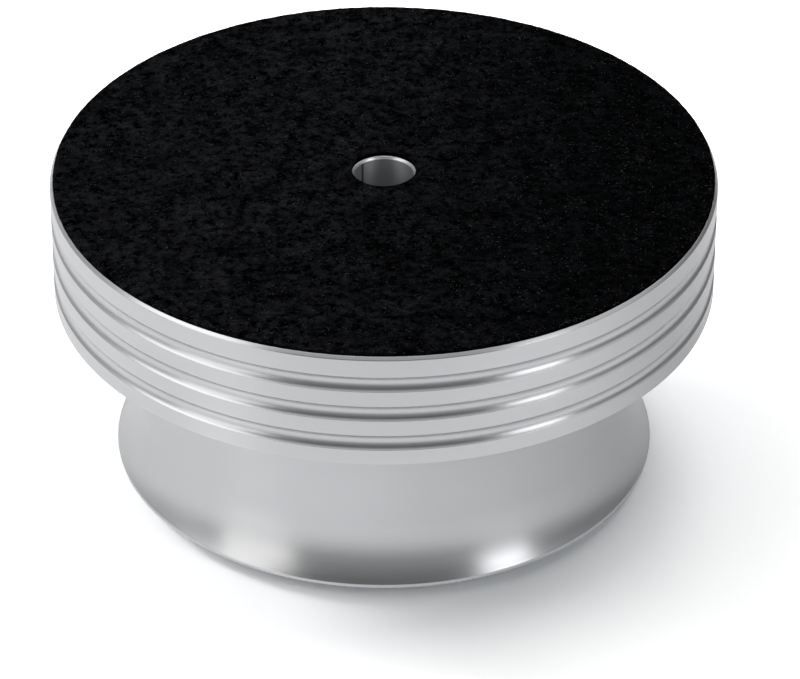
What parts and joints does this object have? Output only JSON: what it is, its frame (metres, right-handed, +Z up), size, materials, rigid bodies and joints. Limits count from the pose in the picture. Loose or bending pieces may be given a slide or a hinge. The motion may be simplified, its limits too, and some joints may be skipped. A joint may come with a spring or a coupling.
{
  "type": "record weight",
  "caption": "Round turned record weight with a grooved disc, a flared finger knob, a blind spindle bore and a felt face, for pressing a record onto a platter.",
  "frame": {"origin": "centre of the knob's end face, which the weight stands on with its felt face up", "axes": "+Z up along the spindle bore, out of its mouth; X and Y are free, because the part is a full turning"},
  "size_m": [0.08, 0.08, 0.0394],
  "materials": {
    "turned_aluminium": "satin",
    "black_felt": "matt"
  },
  "bodies": {
    "root": {"turned_body": "turned_aluminium", "felt_pad": "black_felt"}
  },
  "joints": []
}
